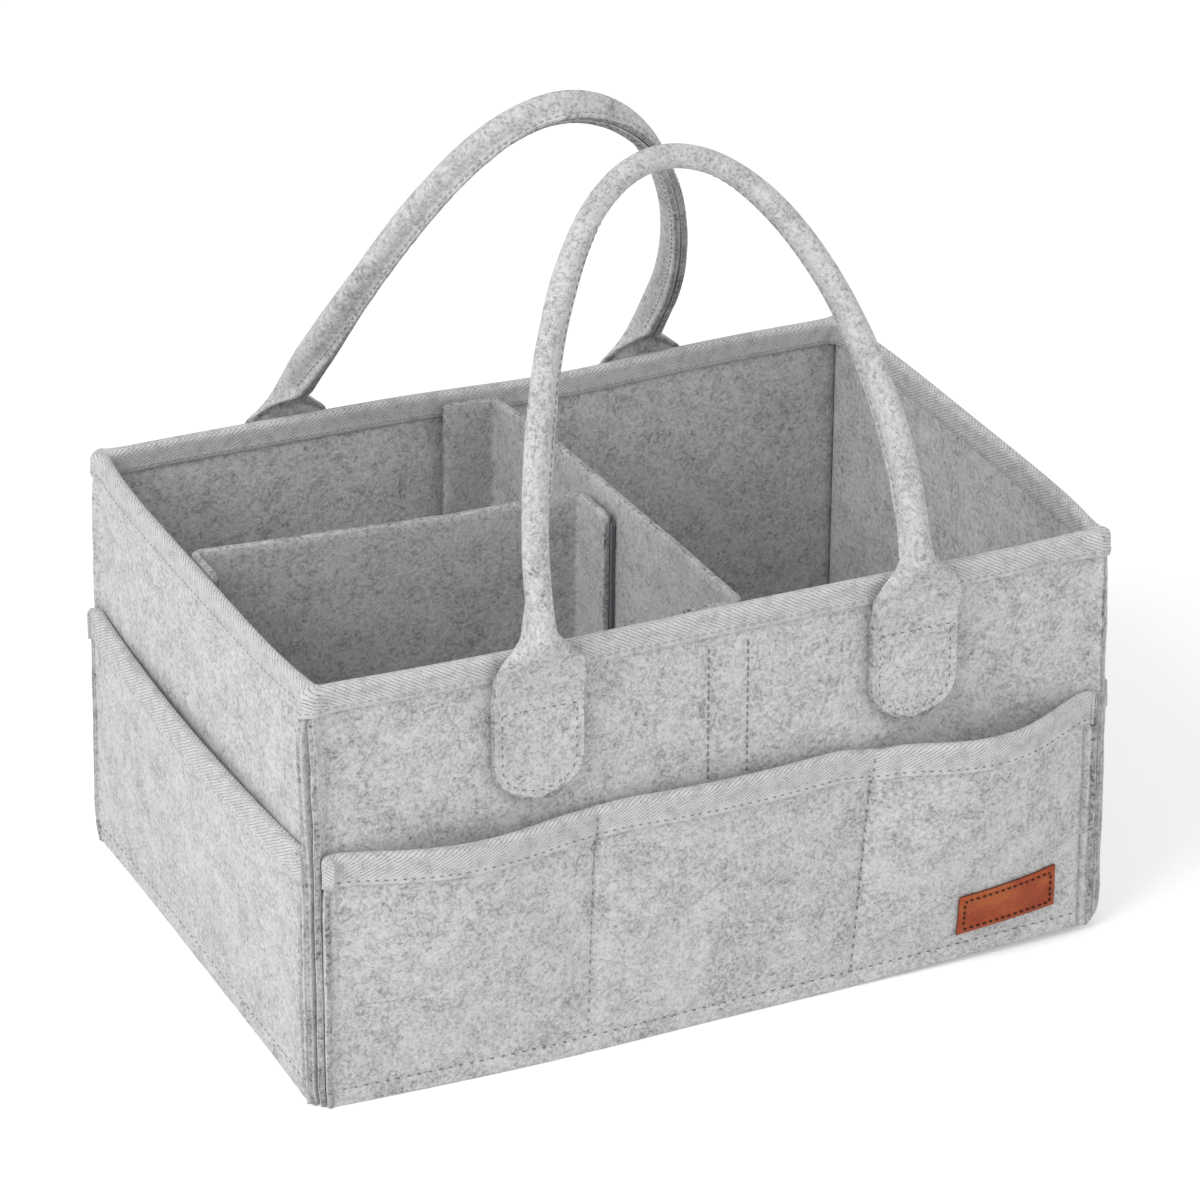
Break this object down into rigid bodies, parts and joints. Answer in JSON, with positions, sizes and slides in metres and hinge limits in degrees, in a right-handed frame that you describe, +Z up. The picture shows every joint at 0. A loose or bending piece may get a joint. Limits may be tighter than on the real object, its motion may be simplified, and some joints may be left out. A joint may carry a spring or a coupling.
{
  "type": "diaper caddy",
  "caption": "Soft rectangular felt caddy with sewn outside pockets, a taped rim, two arched roll handles and removable dividers that make three compartments.",
  "frame": {"origin": "on the floor under the middle of the box", "axes": "+Z up, -Y out of the front long side, +X towards the right end when seen from the front"},
  "size_m": [0.3616, 0.2696, 0.348],
  "materials": {
    "felt": "heathered wool-look felt, 3 mm",
    "divider_felt": "heathered felt, 3 mm, raw cut edges",
    "twill_tape": "herringbone cotton tape",
    "cotton_cord": "undyed cotton cord",
    "leather": "smooth vegetable-tanned leather, blank",
    "loop_strip": "loop side of a touch fastener",
    "hook_strip": "hook side of a touch fastener"
  },
  "bodies": {
    "basket": {"base_panel": "felt", "front_wall": "felt", "back_wall": "felt", "left_end_wall": "felt", "right_end_wall": "felt", "front_pocket_panel": "felt", "back_pocket_panel": "felt", "left_pocket_panel": "felt", "right_pocket_panel": "felt", "rim_binding_tape": "twill_tape", "front_pocket_binding": "twill_tape", "back_pocket_binding": "twill_tape", "left_pocket_binding": "twill_tape", "right_pocket_binding": "twill_tape", "front_handle_left_tongue": "felt", "front_handle_right_tongue": "felt", "back_handle_left_tongue": "felt", "back_handle_right_tongue": "felt", "leather_label": "leather", "front_wall_loop_strip": "loop_strip", "back_wall_loop_strip": "loop_strip", "left_end_loop_strip": "loop_strip"},
    "front_handle": {"front_handle_tube": "felt", "front_handle_core": "cotton_cord"},
    "back_handle": {"back_handle_tube": "felt", "back_handle_core": "cotton_cord"},
    "cross_panel": {"cross_divider": "divider_felt", "cross_divider_loop_strip": "loop_strip", "cross_divider_front_hook_strip": "hook_strip", "cross_divider_back_hook_strip": "hook_strip"},
    "lengthwise_panel": {"lengthwise_divider": "divider_felt", "lengthwise_divider_left_hook_strip": "hook_strip", "lengthwise_divider_right_hook_strip": "hook_strip"}
  },
  "joints": [
    {"name": "front_handle_swing", "type": "hinge", "parent": "basket", "child": "front_handle", "pos_m": [0, -0.12114, 0.19], "axis": [-1, 0, 0], "range_deg": [-111, 12]},
    {"name": "back_handle_swing", "type": "hinge", "parent": "basket", "child": "back_handle", "pos_m": [0, 0.12114, 0.19], "axis": [1, 0, 0], "range_deg": [-118, 7]},
    {"name": "cross_divider_lift", "type": "slide", "parent": "basket", "child": "cross_panel", "axis": [0, 0, 1], "range_m": [0, 0.11]},
    {"name": "lengthwise_divider_lift", "type": "slide", "parent": "basket", "child": "lengthwise_panel", "axis": [0, 0, 1], "range_m": [0, 0.11]}
  ]
}
